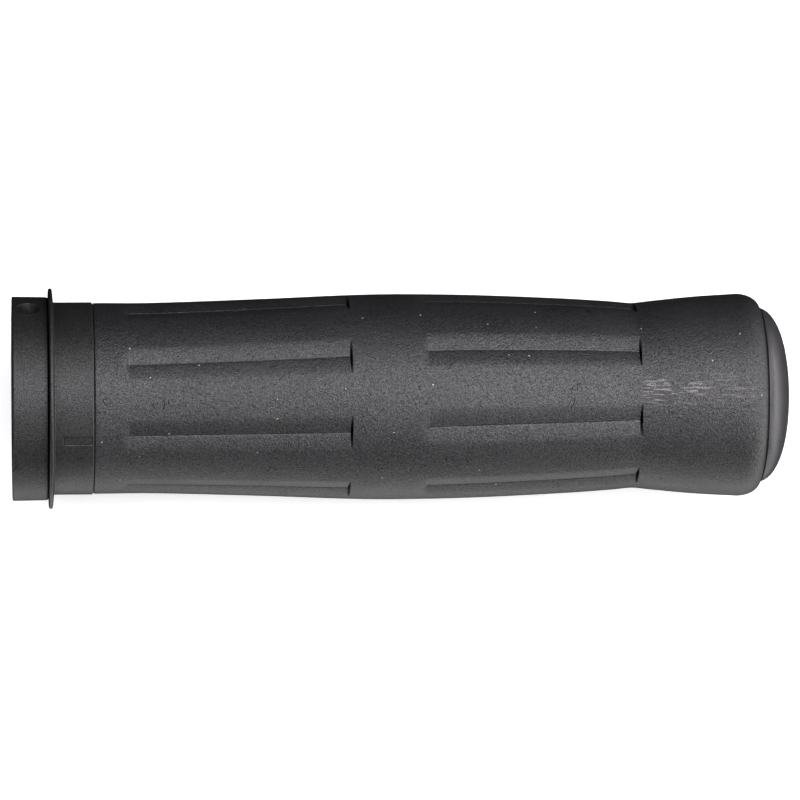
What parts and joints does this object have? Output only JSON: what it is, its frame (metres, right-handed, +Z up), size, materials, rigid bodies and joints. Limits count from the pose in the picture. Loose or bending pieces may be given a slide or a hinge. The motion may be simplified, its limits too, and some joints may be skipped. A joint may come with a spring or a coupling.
{
  "type": "throttle grip",
  "caption": "Right-hand motorcycle throttle grip: lobed rubber on a plastic throttle sleeve with a cable drum, thin flange, housing collar and domed end plug.",
  "frame": {"origin": "centre of the handlebar bore at the throttle sleeve's inboard end face", "axes": "+X along the handlebar towards the domed outer end, +Z up, +Y completes the right-handed frame"},
  "size_m": [0.1377, 0.039, 0.039],
  "materials": {
    "sleeve_nylon": "fine-grained moulded nylon",
    "drum_nylon": "fine-grained moulded nylon",
    "grip_rubber": "leathery-grained matte rubber",
    "plug_vinyl": "smooth satin soft vinyl"
  },
  "bodies": {
    "grip": {"throttle_sleeve": "sleeve_nylon", "rubber_grip": "grip_rubber"},
    "drum": {"cable_drum": "drum_nylon"},
    "plug": {"end_plug": "plug_vinyl"}
  },
  "joints": [
    {"name": "drum_pull", "type": "slide", "parent": "grip", "child": "drum", "axis": [-1, 0, 0], "range_m": [0, 0.015]},
    {"name": "plug_pull", "type": "slide", "parent": "grip", "child": "plug", "axis": [1, 0, 0], "range_m": [0, 0.025]}
  ]
}
